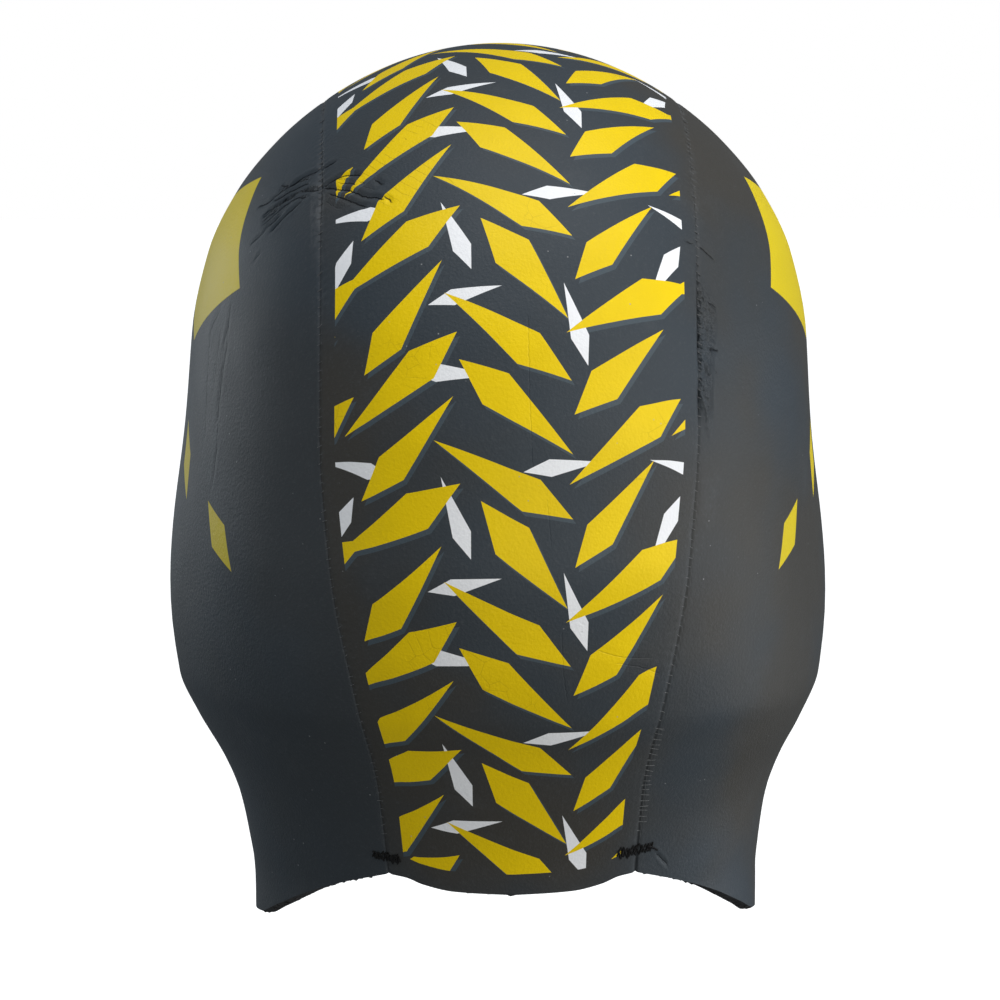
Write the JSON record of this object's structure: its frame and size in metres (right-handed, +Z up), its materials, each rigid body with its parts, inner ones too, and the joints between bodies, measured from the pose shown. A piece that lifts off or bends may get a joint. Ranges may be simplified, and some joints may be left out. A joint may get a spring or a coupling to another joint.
{
  "type": "neoprene swim cap",
  "caption": "Close-fitting swim cap of smooth-skin neoprene in its worn form, with a printed centre panel and side panels over the ears and down to the neck.",
  "frame": {"origin": "inside of the crown, where the cap sits on the top of the head", "axes": "+Z up through the crown, -Y out of the face opening, +X to the wearer's left"},
  "size_m": [0.1688, 0.1959, 0.222],
  "materials": {
    "centre_skin": "smooth satin neoprene skin with a screen print",
    "side_skin": "smooth satin neoprene skin",
    "seam_thread": "black polyester thread"
  },
  "bodies": {
    "root": {"centre_panel": "centre_skin", "left_side_panel": "side_skin", "right_side_panel": "side_skin"}
  },
  "joints": []
}
